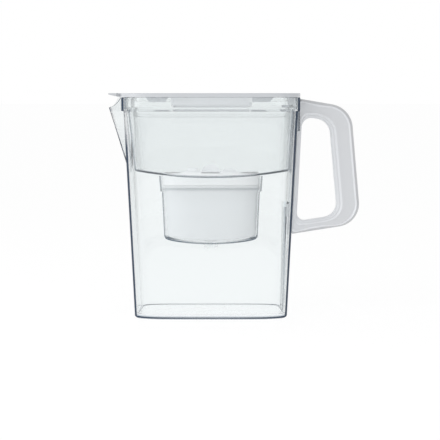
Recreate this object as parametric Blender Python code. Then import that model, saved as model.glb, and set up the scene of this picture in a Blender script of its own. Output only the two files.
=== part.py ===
"""Water filter pitcher with a flip lid.

Metres, +Z up. The origin is the centre of the jug's flat underside. The handle is towards +X
and the spout towards -X. A hopper hangs in the jug's collar and holds an oval filter cartridge
in its well. A flat lid with a refill flap and a spout flap closes the top.
"""

import math

import bmesh
import bpy
from mathutils import Matrix, Vector

for old in list(bpy.data.objects):
    bpy.data.objects.remove(old, do_unlink=True)

# Fits
seat_gap = 0.0003        # between two pieces that touch
lift_gap = 0.0004        # around a piece that turns or lifts past another
overrun = 0.003          # how far a cutter passes the face that it opens
embed = 0.001            # how far a raised form starts inside the piece that carries it

# Outlines: a squared oval, rounder as its power falls towards 2
jug_power = 5
well_power = 3
jug_points = 64
well_points = 44
edge_steps = 3
sharp_angle = math.radians(35)

# Jug
foot_half_length = 0.0797
foot_half_depth = 0.046
shoulder_half_length = 0.0903
shoulder_half_depth = 0.0509
shoulder_height = 0.2137
jug_wall = 0.0022
jug_floor = 0.0035
foot_radius = 0.003
collar_height = 0.014
collar_step = 0.0021     # how far the collar stands out from the shoulder
collar_wall = 0.0022
ledge_thickness = 0.0022

# Spout: a V cone on the end wall, with its mouth cut back in a curve
spout_height = 0.067     # from the root on the wall to the lip
spout_lip_drop = 0.0107  # how far the lip lies below the jug's rim
spout_reach = 0.0173
spout_half_width = 0.021
spout_wall = 0.0026      # measured along X
spout_nose_power = 1.35
spout_mouth_start = 0.0034
spout_mouth_pull_shares = (0.34, 0.14)
spout_nose_steps = 14
mouth_steps = 8

# Recess for the handle in the end wall, open at the bottom, and the pad under the collar
recess_back = 0.079
recess_lap = 0.0341      # how far it reaches above the handle's foot
recess_half_width = 0.011
pad_height = 0.0209
pad_proud = 0.0018       # measured from the shoulder
pad_half_width = 0.0105

# Handle: a closed loop between four leaning lines
handle_top_drop = 0.0014 # below the jug's rim
handle_height = 0.1418
handle_reach = 0.0743
handle_lean_share = -0.0925
handle_fall_share = -0.1713
handle_rise_share = 0.158
spine_thickness = 0.005
top_bar = 0.018
grip_width = 0.0238
bottom_bar = 0.012
handle_radii = (0.0015, 0.002, 0.026, 0.0243)       # foot, top, and the two outer corners
window_radii = (0.008, 0.010, 0.016, 0.015)
handle_half_thickness = 0.0088
grip_swell = 0.0022
rim_half_thickness = 0.0048
outer_band = 0.0042
inner_band = 0.0045
band_limit_share = 0.4
handle_corner_steps = 8
handle_side_steps = (8, 3, 8, 4)
tongue_height = 0.014
tongue_half_width = 0.0045

# Hopper
hopper_wall = 0.0018
hopper_top_clearance = 0.0016
hopper_low_clearance = 0.00366  # to the jug's wall, at the floor
hopper_floor_shift = 0.00115
hopper_floor_height = 0.1463
hopper_floor_bow = 0.0071
hopper_edge_radius = 0.0018
hopper_rim_drop = 0.0003

# Well under the hopper, stepped in below a short upper ring
ring_half_length = 0.0545
ring_half_depth = 0.029
ring_taper = 0.0013
ring_height = 0.0146
well_step = 0.0017
cup_taper = 0.0021
cup_height = 0.0555
cup_bow = 0.0045
cup_edge_radius = 0.004
well_wall = 0.0016
outlet_radius = 0.007
outlet_bore_radius = 0.0042
outlet_drop = 0.0045
outlet_points = 20

# Cartridge
seal_height = 0.002
flange_height = 0.002
shell_wall = 0.0014
shell_floor_clearance = 0.0015
slot_width = 0.0022
slot_half_length = 0.008
slot_pitch = 0.0055
slot_count = 5
screen_thickness = 0.0008
media_headroom = 0.006
cap_height = 0.0146
cap_wall = 0.0014
cap_edge_radius = 0.0012
cap_taper = 0.0008
window_height = 0.0014
window_drop = 0.001
window_half_length = 0.0095
window_pitch = 0.041
plateau_rise = 0.0034
plateau_half_length = 0.0276
plateau_ramp = 0.0036
plateau_notch = 0.0107
plateau_half_depth = 0.013
dome_rise = 0.0084
dome_half_length = 0.0095
dome_half_depth = 0.006
dome_steps = 14

# Lid
lid_thickness = 0.004
lid_edge_radius = 0.0009
tab_depth = 0.0052
tab_wall = 0.0018
tab_slope = 0.004
front_tab_span = (-0.066, -0.042)
rear_tab_span = (0.036, 0.064)
end_tab_start = 0.078
end_tab_depth = 0.0075
throat_low_x = -0.041
throat_high_x = 0.042
throat_half_depth = 0.031
throat_wall = 0.0018
throat_depth = 0.008
throat_corner_radius = 0.004
flap_rest_width = 0.0016
flap_rest_half_length = 0.018
scoop_radius = 0.011

# Flaps and their hinges
barrel_radius = 0.002
pin_radius = 0.001
pin_length = 0.002
hinge_points = 20
flap_thickness = 0.0022
hinge_chamfer = 0.001
spout_flap_neck = 0.014
spout_flap_half_width = 0.017
spout_flap_reach = 0.0125
spout_flap_tip = 0.0008
ear_width = 0.003

# Sizes that follow from those above
taper = (shoulder_half_length - foot_half_length) / shoulder_height
jug_height = shoulder_height + collar_height
collar_half_length = shoulder_half_length + collar_step
collar_half_depth = shoulder_half_depth + collar_step
ledge_height = shoulder_height + ledge_thickness
lid_low = jug_height + seat_gap
lid_top = lid_low + lid_thickness
hinge_height = lid_top - barrel_radius
spout_hinge_x = -(collar_half_length + lift_gap + barrel_radius)
spout_lip_height = jug_height - spout_lip_drop
spout_root_height = spout_lip_height - spout_height
handle_top = jug_height - handle_top_drop
handle_bottom = handle_top - handle_height
recess_height = handle_bottom + recess_lap


def end_wall(height):
    """Half-length of the jug's outside at a height."""
    return foot_half_length + taper * height


def side_wall(height):
    """Half-depth of the jug's outside at a height."""
    return foot_half_depth + (shoulder_half_depth - foot_half_depth) * height / shoulder_height


def signed_power(value, power):
    return math.copysign(abs(value) ** power, value)


def finish(name, bm):
    """Turns a bmesh into an object whose faces point outwards."""
    bmesh.ops.recalc_face_normals(bm, faces=bm.faces)
    mesh = bpy.data.meshes.new(name)
    bm.to_mesh(mesh)
    bm.free()
    mesh.shade_smooth()
    mesh.set_sharp_from_angle(angle=sharp_angle)
    made = bpy.data.objects.new(name, mesh)
    bpy.context.scene.collection.objects.link(made)
    return made


def skin(bm, rings, closed=False):
    """Joins rings of equally many vertices with quads, as a tube or as a closed loop."""
    followers = rings[1:] + rings[:1] if closed else rings[1:]
    for lower, upper in zip(rings, followers):
        for here in range(len(lower)):
            after = (here + 1) % len(lower)
            bm.faces.new((lower[here], lower[after], upper[after], upper[here]))


def loft(name, ovals, power, points):
    """Closed solid through squared ovals (half-length, half-depth, height, bow), bottom to top.

    A ring with a bow rises by it towards its two ends. A fifth value moves the ring along X.
    """
    bm = bmesh.new()
    rings = []
    for half_length, half_depth, height, bow, *shift in ovals:
        centre = sum(shift)
        ring = []
        for step in range(points):
            angle = math.tau * step / points
            across = signed_power(math.cos(angle), 2 / power)
            along = signed_power(math.sin(angle), 2 / power)
            place = (centre + half_length * across, half_depth * along, height + bow * across**2)
            ring.append(bm.verts.new(place))
        rings.append(ring)
    skin(bm, rings)
    for end in (rings[0], rings[-1]):
        for step in range(points // 2):
            strip = (end[step], end[step + 1], end[(-step - 1) % points], end[-step % points])
            bm.faces.new(list(dict.fromkeys(strip)))
    return finish(name, bm)


def rounded_foot(half_length, half_depth, height, bow, radius, shift=0):
    """Ovals that round the bottom edge of a loft, up to where its wall starts."""
    ovals = []
    for step in range(edge_steps + 1):
        angle = math.radians(90) * step / edge_steps
        inset = radius * (1 - math.sin(angle))
        lift = radius * (1 - math.cos(angle))
        ovals.append((half_length - inset, half_depth - inset, height + lift, bow, shift))
    return ovals


def prism(name, outline, low, high, axis):
    """Extrudes an outline: of (x, z) points along Y, or of (x, y) points along Z."""
    bm = bmesh.new()
    if axis == "Y":
        verts = [bm.verts.new((x, low, z)) for x, z in outline]
        travel = Vector((0, high - low, 0))
    else:
        verts = [bm.verts.new((x, y, low)) for x, y in outline]
        travel = Vector((0, 0, high - low))
    base = bm.faces.new(verts)
    grown = bmesh.ops.extrude_face_region(bm, geom=[base])["geom"]
    bmesh.ops.translate(bm, verts=[v for v in grown if isinstance(v, bmesh.types.BMVert)], vec=travel)
    return finish(name, bm)


def block(name, low, high):
    """Box between two opposite corners."""
    outline = [(low[0], low[2]), (high[0], low[2]), (high[0], high[2]), (low[0], high[2])]
    return prism(name, outline, low[1], high[1], "Y")


def rod(name, radius, centre, length, axis, points):
    """Cylinder about a centre, along Y or Z."""
    bm = bmesh.new()
    turn = Matrix.Rotation(math.radians(90), 4, "X") if axis == "Y" else Matrix.Identity(4)
    place = Matrix.Translation(centre) @ turn
    bmesh.ops.create_cone(
        bm, cap_ends=True, segments=points, radius1=radius, radius2=radius, depth=length, matrix=place
    )
    return finish(name, bm)


def combine(body, tool, operation):
    """Adds a live Boolean and leaves its tool as a guide."""
    step = body.modifiers.new(tool.name, "BOOLEAN")
    step.operation = operation
    step.solver = "EXACT"
    step.object = tool
    tool.hide_render = True
    tool.display_type = "WIRE"


def add(body, tool):
    combine(body, tool, "UNION")


def cut(body, tool):
    combine(body, tool, "DIFFERENCE")


def keep(body, tool):
    combine(body, tool, "INTERSECT")


def carry(child, parent, origin=(0, 0, 0)):
    """Parents a piece, with its own origin moved to a point on its joint's axis."""
    shift = Vector(origin)
    child.data.transform(Matrix.Translation(-shift))
    child.location = shift
    child.parent = parent


def dress(piece, colour, roughness, alpha=1.0):
    """Gives a piece a plastic of its own."""
    plastic = bpy.data.materials.new(piece.name)
    plastic.use_nodes = True
    shader = plastic.node_tree.nodes["Principled BSDF"]
    shader.inputs["Base Color"].default_value = (*colour, 1.0)
    shader.inputs["Roughness"].default_value = roughness
    shader.inputs["Metallic"].default_value = 0.0
    shader.inputs["Alpha"].default_value = alpha
    piece.data.materials.append(plastic)


def spout_cone(name, shift, top):
    """Cone from the spout's root to its V outline at a height, moved along X by a shift."""
    share = (top - spout_root_height) / (spout_lip_height - spout_root_height)
    back = jug_wall / 2 - end_wall(top) + shift
    root = (jug_wall / 2 - end_wall(spout_root_height) + shift, 0, spout_root_height)
    bm = bmesh.new()
    bm.verts.new(root)
    for step in range(spout_nose_steps + 1):
        side = 2 * step / spout_nose_steps - 1
        out = spout_reach * share * (1 - abs(side) ** spout_nose_power)
        bm.verts.new((back - out, spout_half_width * share * side, top))
    bmesh.ops.convex_hull(bm, input=bm.verts)
    return finish(name, bm)


def spout_mouth():
    """Everything above the curved mouth of the spout."""
    start = (-(collar_half_length + spout_mouth_start), jug_height)
    lip = (jug_wall / 2 - end_wall(spout_lip_height) - spout_reach, spout_lip_height)
    pull_out, pull_up = spout_mouth_pull_shares
    pull = (start[0] + (lip[0] - start[0]) * pull_out, lip[1] + (start[1] - lip[1]) * pull_up)
    outline = []
    for step in range(mouth_steps + 1):
        t = step / mouth_steps
        a, b, c = (1 - t) ** 2, 2 * t * (1 - t), t**2
        outline.append(tuple(a * start[i] + b * pull[i] + c * lip[i] for i in (0, 1)))
    outline.append((lip[0] - spout_reach, lip[1]))
    outline.append((lip[0] - spout_reach, jug_height + 2 * overrun))
    outline.append((start[0], jug_height + 2 * overrun))
    width = 2 * spout_half_width
    return prism("mouth_cut", outline, -width, width, "Y")


def make_jug():
    """Clear vessel: tapered walls, stepped collar, V spout, handle recess and pad."""
    outer = rounded_foot(foot_half_length, foot_half_depth, 0, 0, foot_radius)
    outer.append((shoulder_half_length, shoulder_half_depth, shoulder_height, 0))
    outer.append((collar_half_length, collar_half_depth, shoulder_height, 0))
    outer.append((collar_half_length, collar_half_depth, jug_height, 0))
    jug = loft("jug", outer, jug_power, jug_points)

    inner_length = foot_half_length - jug_wall
    inner_depth = foot_half_depth - jug_wall
    inner = rounded_foot(inner_length, inner_depth, jug_floor, 0, foot_radius)
    throat = (shoulder_half_length - jug_wall, shoulder_half_depth - jug_wall)
    socket = (collar_half_length - collar_wall, collar_half_depth - collar_wall)
    inner.append((*throat, ledge_height, 0))
    inner.append((*socket, ledge_height, 0))
    inner.append((*socket, jug_height + overrun, 0))
    cavity = loft("jug_cavity", inner, jug_power, jug_points)

    far = collar_half_length + overrun
    recess_low = (recess_back, -recess_half_width, -overrun)
    recess = block("recess_cut", recess_low, (far, recess_half_width, recess_height))
    shroud_half = recess_half_width + jug_wall
    shroud_low = (recess_back - jug_wall, -shroud_half, -overrun)
    shroud = block("recess_shroud", shroud_low, (far, shroud_half, recess_height + jug_wall))
    cut(cavity, shroud)

    pad_low = (shoulder_half_length - jug_wall, -pad_half_width, shoulder_height - pad_height)
    pad_high = (shoulder_half_length + pad_proud, pad_half_width, shoulder_height + embed)
    add(jug, block("handle_pad", pad_low, pad_high))
    add(jug, spout_cone("spout_outside", 0, jug_height))
    cut(jug, spout_mouth())
    cut(jug, cavity)
    cut(jug, spout_cone("spout_inside", spout_wall, jug_height + overrun))
    cut(jug, recess)
    dress(jug, (0.80, 0.86, 0.90), 0.05, 0.35)
    return jug


def crossing(upright, level):
    """Point where an upright line x = a + b z meets a level line z = c + d x."""
    a, b = upright
    c, d = level
    x = (a + b * c) / (1 - b * d)
    return Vector((x, c + d * x))


def rounded_loop(corners, radii, side_steps):
    """Outline with an arc at each corner and evenly spaced points along each side."""
    arcs = []
    for index, corner in enumerate(corners):
        back = (corners[index - 1] - corner).normalized()
        ahead = (corners[(index + 1) % len(corners)] - corner).normalized()
        half = back.angle(ahead) / 2
        centre = corner + (back + ahead).normalized() * radii[index] / math.sin(half)
        start = corner + back * radii[index] / math.tan(half) - centre
        sweep = back.angle_signed(ahead)
        turn = math.copysign(math.pi - abs(sweep), -sweep)
        arc = []
        for step in range(handle_corner_steps + 1):
            arc.append(centre + Matrix.Rotation(-turn * step / handle_corner_steps, 2) @ start)
        arcs.append(arc)
    loop = []
    for index, arc in enumerate(arcs):
        loop += arc
        ahead = arcs[(index + 1) % len(arcs)][0]
        for step in range(1, side_steps[index]):
            loop.append(arc[-1].lerp(ahead, step / side_steps[index]))
    return loop


def make_handle():
    """White loop grip: soft-edged section swept between its outer and its window outline."""
    wall = (foot_half_length + seat_gap, taper)
    foot_x = end_wall(handle_bottom) + seat_gap
    grip_x = foot_x + handle_reach
    grip = (grip_x - handle_lean_share * handle_bottom, handle_lean_share)
    top_z = handle_top - handle_fall_share * (collar_half_length + seat_gap)
    bottom_z = handle_bottom - handle_rise_share * foot_x
    top = (top_z, handle_fall_share)
    bottom = (bottom_z, handle_rise_share)
    window_wall = (wall[0] + spine_thickness, taper)
    window_grip = (grip[0] - grip_width, handle_lean_share)
    window_top = (top_z - top_bar, handle_fall_share)
    window_bottom = (bottom_z + bottom_bar, handle_rise_share)

    outer = [crossing(wall, bottom), crossing(wall, top), crossing(grip, top), crossing(grip, bottom)]
    window = [
        crossing(window_wall, window_bottom),
        crossing(window_wall, window_top),
        crossing(window_grip, window_top),
        crossing(window_grip, window_bottom),
    ]
    outer_loop = rounded_loop(outer, handle_radii, handle_side_steps)
    window_loop = rounded_loop(window, window_radii, handle_side_steps)

    bm = bmesh.new()
    rings = []
    for edge, hole in zip(outer_loop, window_loop):
        width = (hole - edge).length
        swell_share = min(max((edge.x - collar_half_length) / handle_reach, 0), 1)
        half = handle_half_thickness + grip_swell * swell_share
        side = []
        for start, band, way in ((edge, outer_band, hole), (hole, inner_band, edge)):
            reach = min(band, band_limit_share * width)
            for step in range(edge_steps + 1):
                angle = math.radians(90) * step / edge_steps
                inward = reach * (1 - math.cos(angle))
                depth = rim_half_thickness + (half - rim_half_thickness) * math.sin(angle)
                place = start.lerp(way, inward / width)
                side.append((place.x, depth, place.y))
        front = side[: edge_steps + 1] + side[: edge_steps : -1]
        ring = [bm.verts.new((x, -depth, z)) for x, depth, z in front]
        ring += [bm.verts.new((x, depth, z)) for x, depth, z in reversed(front)]
        rings.append(ring)
    skin(bm, rings, closed=True)
    handle = finish("handle", bm)

    clear_x = collar_half_length + seat_gap
    clear_z = shoulder_height - pad_height - seat_gap
    half_width = 2 * handle_half_thickness
    clearance_low = (foot_half_length, -half_width, clear_z)
    cut(handle, block("collar_relief", clearance_low, (clear_x, half_width, handle_top + overrun)))
    tongue_top = recess_height - seat_gap
    tongue_low = (recess_back + seat_gap, -tongue_half_width, tongue_top - tongue_height)
    tongue_out = end_wall(tongue_low[2]) + seat_gap + spine_thickness / 2
    add(handle, block("tongue", tongue_low, (tongue_out, tongue_half_width, tongue_top)))
    dress(handle, (0.80, 0.81, 0.82), 0.35)
    return handle


# Well and cartridge share their outlines: each is the one outside it less a wall or a gap
cup_half_length = ring_half_length - ring_taper - well_step
cup_half_depth = ring_half_depth - ring_taper - well_step
cup_floor_half_length = cup_half_length - cup_taper
cup_floor_half_depth = cup_half_depth - cup_taper
well_top = hopper_floor_height + hopper_wall
well_step_height = hopper_floor_height - ring_height
well_ledge = well_step_height + well_wall
cup_corner_height = well_step_height - cup_height


def cup_ovals(inset, rise, top):
    """Ovals of the cup part of the well, drawn in by an inset and raised from its floor."""
    low_length = cup_floor_half_length - inset
    low_depth = cup_floor_half_depth - inset
    foot = rounded_foot(low_length, low_depth, cup_corner_height + rise, cup_bow, cup_edge_radius)
    return foot + [(cup_half_length - inset, cup_half_depth - inset, top, 0)]


def make_hopper():
    """Clear inner vessel with a bowed floor, a rim on the jug's ledge and a stepped well."""
    rim_low = ledge_height + seat_gap
    rim_top = jug_height - hopper_rim_drop
    throat_length = shoulder_half_length - jug_wall - hopper_top_clearance
    throat_depth_half = shoulder_half_depth - jug_wall - hopper_top_clearance
    rim_length = collar_half_length - collar_wall - seat_gap
    rim_depth = collar_half_depth - collar_wall - seat_gap
    floor_clearance = jug_wall + hopper_low_clearance
    floor_length = end_wall(hopper_floor_height) - floor_clearance
    floor_depth = side_wall(hopper_floor_height) - floor_clearance

    def shell(inset, rise, top):
        foot = rounded_foot(
            floor_length - inset,
            floor_depth - inset,
            hopper_floor_height + rise,
            hopper_floor_bow,
            hopper_edge_radius,
            hopper_floor_shift,
        )
        return foot + [
            (throat_length - inset, throat_depth_half - inset, rim_low + rise, 0),
            (rim_length - inset, rim_depth - inset, rim_low + rise, 0),
            (rim_length - inset, rim_depth - inset, top, 0),
        ]

    hopper = loft("hopper", shell(0, 0, rim_top), jug_power, jug_points)
    room = loft("hopper_room", shell(hopper_wall, hopper_wall, rim_top + overrun), jug_power, jug_points)

    ring_low = (ring_half_length - ring_taper, ring_half_depth - ring_taper)
    outside = cup_ovals(0, 0, well_step_height)
    outside.append((*ring_low, well_step_height, 0))
    outside.append((ring_half_length, ring_half_depth, well_top, 0))
    add(hopper, loft("well_outside", outside, well_power, well_points))
    outlet_top = cup_corner_height + well_wall
    outlet_low = cup_corner_height - outlet_drop
    nub_centre = (0, 0, (outlet_top + outlet_low) / 2)
    nub = rod("outlet_nub", outlet_radius, nub_centre, outlet_top - outlet_low, "Z", outlet_points)
    add(hopper, nub)

    inside = cup_ovals(well_wall, well_wall, well_ledge)
    inside.append((ring_low[0] - well_wall, ring_low[1] - well_wall, well_ledge, 0))
    ring_inside = (ring_half_length - well_wall, ring_half_depth - well_wall)
    inside.append((*ring_inside, well_top, 0))
    inside.append((*ring_inside, well_top + hopper_floor_bow, 0))
    cut(hopper, room)
    cut(hopper, loft("well_inside", inside, well_power, well_points))
    bore_length = outlet_top - outlet_low + 2 * overrun
    cut(hopper, rod("outlet_bore", outlet_bore_radius, nub_centre, bore_length, "Z", outlet_points))
    dress(hopper, (0.74, 0.80, 0.84), 0.08, 0.45)
    return hopper


def make_cartridge(holder):
    """White cup with a seal under its flange, screens, granules and a slotted cap with a grip."""
    inset = well_wall + lift_gap
    floor = cup_corner_height + well_wall + shell_floor_clearance
    rise = well_wall + shell_floor_clearance
    seal_low = well_ledge + seat_gap
    flange_low = seal_low + seal_height + seat_gap
    flange_top = flange_low + flange_height
    flange_half_length = ring_half_length - ring_taper - well_wall - lift_gap
    flange_half_depth = ring_half_depth - ring_taper - well_wall - lift_gap
    cup_length = cup_half_length - inset
    cup_depth = cup_half_depth - inset

    outside = cup_ovals(inset, rise, well_ledge)
    outside.append((cup_length, cup_depth, flange_low, 0))
    outside.append((flange_half_length, flange_half_depth, flange_low, 0))
    outside.append((flange_half_length, flange_half_depth, flange_top, 0))
    shell = loft("cartridge_shell", outside, well_power, well_points)
    inside = cup_ovals(inset + shell_wall, rise + shell_wall, well_ledge)
    inside.append((cup_length - shell_wall, cup_depth - shell_wall, flange_top + overrun, 0))
    cut(shell, loft("shell_room", inside, well_power, well_points))
    for index in range(slot_count):
        x = slot_pitch * (index - (slot_count - 1) / 2)
        low = (x - slot_width / 2, -slot_half_length, floor - overrun)
        high = (x + slot_width / 2, slot_half_length, floor + shell_wall + cup_bow)
        cut(shell, block(f"outlet_slot_{index + 1}", low, high))

    seal_top = seal_low + seal_height
    band = [
        (flange_half_length, flange_half_depth, seal_low, 0),
        (flange_half_length, flange_half_depth, seal_top, 0),
    ]
    seal = loft("cartridge_seal", band, well_power, well_points)
    bore = (cup_length + seat_gap, cup_depth + seat_gap)
    hole = [(*bore, seal_low - overrun, 0), (*bore, seal_top + overrun, 0)]
    cut(seal, loft("seal_hole", hole, well_power, well_points))

    bed_inset = inset + shell_wall + seat_gap
    screen_low = floor + shell_wall + seat_gap
    screen_length = cup_floor_half_length - bed_inset - cup_edge_radius
    screen_depth = cup_floor_half_depth - bed_inset - cup_edge_radius
    sheet = [
        (screen_length, screen_depth, screen_low, cup_bow),
        (screen_length, screen_depth, screen_low + screen_thickness, cup_bow),
    ]
    outlet_screen = loft("outlet_screen", sheet, well_power, well_points)

    bed_rise = screen_low + screen_thickness + seat_gap - cup_corner_height
    bed_top = flange_top - media_headroom
    bed = cup_ovals(bed_inset, bed_rise, bed_top)
    media = loft("filter_media", bed, well_power, well_points)

    cap_low = flange_top + seat_gap
    cap_top = cap_low + cap_height
    plateau_top = cap_top + plateau_rise
    top_length = flange_half_length - cap_taper
    top_depth = flange_half_depth - cap_taper
    edge = cap_edge_radius
    lower_top = cap_top - edge
    shape = [
        (flange_half_length, flange_half_depth, cap_low, 0),
        (top_length, top_depth, lower_top, 0),
        (top_length - edge, top_depth - edge, cap_top, 0),
    ]
    cap = loft("cartridge_cap", shape, well_power, well_points)
    under = cap_top - cap_wall
    hollow = [
        (flange_half_length - cap_wall, flange_half_depth - cap_wall, cap_low - overrun, 0),
        (top_length - cap_wall, top_depth - cap_wall, under, 0),
    ]
    ramp_low = plateau_half_length
    ramp_high = plateau_half_length - plateau_ramp
    base = cap_top - embed
    for side in (-1, 1):
        outline = [
            (side * ramp_low, base),
            (side * ramp_high, plateau_top),
            (side * (plateau_notch + plateau_ramp / 2), plateau_top),
            (side * plateau_notch, base),
        ]
        name = "ramp_left" if side < 0 else "ramp_right"
        add(cap, prism(name, outline, -plateau_half_depth, plateau_half_depth, "Y"))
    arch = []
    for step in range(dome_steps + 1):
        angle = math.pi * step / dome_steps
        arch.append((dome_half_length * math.cos(angle), cap_top + dome_rise * math.sin(angle)))
    arch.append((-dome_half_length, base))
    arch.append((dome_half_length, base))
    add(cap, prism("grip_dome", arch, -dome_half_depth, dome_half_depth, "Y"))
    cut(cap, loft("cap_hollow", hollow, well_power, well_points))
    window_top = cap_top - window_drop
    for index in (-1, 0, 1):
        x = window_pitch * index
        low = (x - window_half_length, -ring_half_depth, window_top - window_height)
        high = (x + window_half_length, ring_half_depth, window_top)
        cut(cap, block(f"inlet_window_{index + 2}", low, high))

    sieve_top = window_top - window_height - seat_gap
    sieve_length = top_length - cap_wall - lift_gap
    sieve_depth = top_depth - cap_wall - lift_gap
    sieve = [
        (sieve_length, sieve_depth, sieve_top - screen_thickness, 0),
        (sieve_length, sieve_depth, sieve_top, 0),
    ]
    inlet_screen = loft("inlet_screen", sieve, well_power, well_points)

    dress(shell, (0.82, 0.83, 0.84), 0.4)
    dress(cap, (0.82, 0.83, 0.84), 0.4)
    dress(seal, (0.70, 0.72, 0.74), 0.6)
    dress(outlet_screen, (0.75, 0.76, 0.78), 0.7)
    dress(inlet_screen, (0.75, 0.76, 0.78), 0.7)
    dress(media, (0.10, 0.09, 0.08), 0.9)
    for piece in (shell, cap, seal, outlet_screen, inlet_screen, media):
        carry(piece, holder)


def rounded_plan(low_x, high_x, half_depth, radius):
    """Rectangle in plan with rounded corners."""
    outline = []
    corners = [(high_x - radius, half_depth - radius, 0), (low_x + radius, half_depth - radius, 90)]
    corners += [(low_x + radius, radius - half_depth, 180), (high_x - radius, radius - half_depth, 270)]
    for x, y, first in corners:
        for step in range(edge_steps + 1):
            angle = math.radians(first + 90 * step / edge_steps)
            outline.append((x + radius * math.cos(angle), y + radius * math.sin(angle)))
    return outline


def rounded_end(centre_x, centre_z, radius, flat_x):
    """Bar seen from the side: a flat end at one x and a round end about a centre."""
    facing = 1 if centre_x < flat_x else -1
    outline = [(flat_x, centre_z - radius), (flat_x, centre_z + radius)]
    for step in range(hinge_points // 2 + 1):
        angle = math.pi * step / (hinge_points // 2)
        x = centre_x - facing * radius * math.sin(angle)
        outline.append((x, centre_z + radius * math.cos(angle)))
    return outline


opening_low_x = throat_low_x + throat_wall
opening_high_x = throat_high_x - throat_wall
opening_half_depth = throat_half_depth - throat_wall
refill_hinge_x = opening_low_x + lift_gap + barrel_radius
flap_low = lid_top - flap_thickness


def make_lid(holder):
    """White lid: plate, locating tabs, refill throat and hinge sockets for the two flaps."""
    full = (collar_half_length, collar_half_depth)
    eased = (full[0] - lid_edge_radius, full[1] - lid_edge_radius)
    plate = [
        (*full, lid_low, 0),
        (*full, lid_top - lid_edge_radius, 0),
        (*eased, lid_top, 0),
    ]
    lid = loft("lid", plate, jug_power, jug_points)

    skirt_length = collar_half_length - collar_wall - seat_gap - hopper_wall - lift_gap
    skirt_depth = collar_half_depth - collar_wall - seat_gap - hopper_wall - lift_gap
    deepest = lid_low - end_tab_depth
    skirt_top = lid_low + embed
    wall_ring = [(skirt_length, skirt_depth, deepest, 0), (skirt_length, skirt_depth, skirt_top, 0)]
    skirt = loft("skirt", wall_ring, jug_power, jug_points)
    within = (skirt_length - tab_wall, skirt_depth - tab_wall)
    hollow = [(*within, deepest - overrun, 0), (*within, skirt_top + overrun, 0)]
    cut(skirt, loft("skirt_hollow", hollow, jug_power, jug_points))
    wide = collar_half_depth + overrun
    tab_low = lid_low - tab_depth
    high = skirt_top + overrun
    spans = []
    for near, far in (front_tab_span, rear_tab_span):
        spans.append([
            (near + tab_slope, tab_low),
            (far - tab_slope, tab_low),
            (far, lid_low),
            (far, high),
            (near, high),
            (near, lid_low),
        ])
    zones = prism("long_tab_zone_1", spans[0], -wide, wide, "Y")
    add(zones, prism("long_tab_zone_2", spans[1], -wide, wide, "Y"))
    end_low = (end_tab_start, -wide, deepest - overrun)
    add(zones, block("end_tab_zone", end_low, (collar_half_length, wide, high)))
    keep(skirt, zones)
    add(lid, skirt)

    throat_low = lid_low - throat_depth
    outer_plan = rounded_plan(throat_low_x, throat_high_x, throat_half_depth, throat_corner_radius)
    add(lid, prism("throat", outer_plan, throat_low, lid_low + embed, "Z"))
    inner_radius = throat_corner_radius - throat_wall
    inner_plan = rounded_plan(opening_low_x, opening_high_x, opening_half_depth, inner_radius)
    opening_top = lid_top + overrun
    cut(lid, prism("refill_opening", inner_plan, throat_low - overrun, opening_top, "Z"))
    slot_low = (opening_low_x, -opening_half_depth, lid_low)
    slot_high = (refill_hinge_x + barrel_radius, opening_half_depth, opening_top)
    cut(lid, block("hinge_slot", slot_low, slot_high))
    eased_edge = [
        (opening_low_x + embed, lid_top - hinge_chamfer - embed),
        (opening_low_x + embed, opening_top),
        (opening_low_x - hinge_chamfer - overrun, opening_top),
        (opening_low_x - hinge_chamfer - overrun, lid_top + overrun),
        (opening_low_x - hinge_chamfer, lid_top),
    ]
    cut(lid, prism("hinge_chamfer", eased_edge, -opening_half_depth, opening_half_depth, "Y"))

    rest_top = flap_low - seat_gap
    rest_low_x = opening_high_x - flap_rest_width
    rest = [
        (opening_high_x + embed, rest_top - 2 * flap_rest_width),
        (opening_high_x + embed, rest_top),
        (rest_low_x, rest_top),
        (rest_low_x, rest_top - flap_rest_width),
    ]
    add(lid, prism("flap_rest", rest, -flap_rest_half_length, flap_rest_half_length, "Y"))
    scoop_centre = (opening_high_x, 0, (flap_low + opening_top) / 2)
    scoop = rod("thumb_scoop", scoop_radius, scoop_centre, opening_top - flap_low, "Z", jug_points // 2)
    cut(lid, scoop)

    ear_half = spout_flap_neck + lift_gap
    for side in (-1, 1):
        name = "front" if side < 0 else "rear"
        flat_x = embed * 2 - collar_half_length
        outline = rounded_end(spout_hinge_x, hinge_height, barrel_radius, flat_x)
        near, far = sorted((side * ear_half, side * (ear_half + ear_width)))
        add(lid, prism(f"ear_{name}", outline, near, far, "Y"))
        bore = pin_radius + seat_gap
        ear_centre = (spout_hinge_x, side * (ear_half + ear_width / 2), hinge_height)
        through = ear_width + 2 * overrun
        cut(lid, rod(f"ear_bore_{name}", bore, ear_centre, through, "Y", hinge_points))
        socket_length = pin_length + lift_gap + embed
        socket_centre = (
            refill_hinge_x,
            side * (opening_half_depth + socket_length / 2 - embed),
            hinge_height,
        )
        cut(lid, rod(f"hinge_socket_{name}", bore, socket_centre, socket_length, "Y", hinge_points))
    dress(lid, (0.80, 0.81, 0.82), 0.35)
    carry(lid, holder)
    return lid


def make_refill_flap(holder):
    """White plate in the throat that tips up on moulded pins at its spout side."""
    half_depth = opening_half_depth - lift_gap
    radius = throat_corner_radius - throat_wall
    centre = (refill_hinge_x, 0, hinge_height)
    outline = rounded_plan(refill_hinge_x, opening_high_x - lift_gap, half_depth, radius)
    flap = prism("refill_flap", outline, flap_low, lid_top, "Z")
    add(flap, rod("refill_barrel", barrel_radius, centre, 2 * half_depth, "Y", hinge_points))
    pins_length = 2 * (opening_half_depth + pin_length)
    add(flap, rod("refill_pins", pin_radius, centre, pins_length, "Y", hinge_points))
    dress(flap, (0.80, 0.81, 0.82), 0.35)
    carry(flap, holder, centre)


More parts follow.
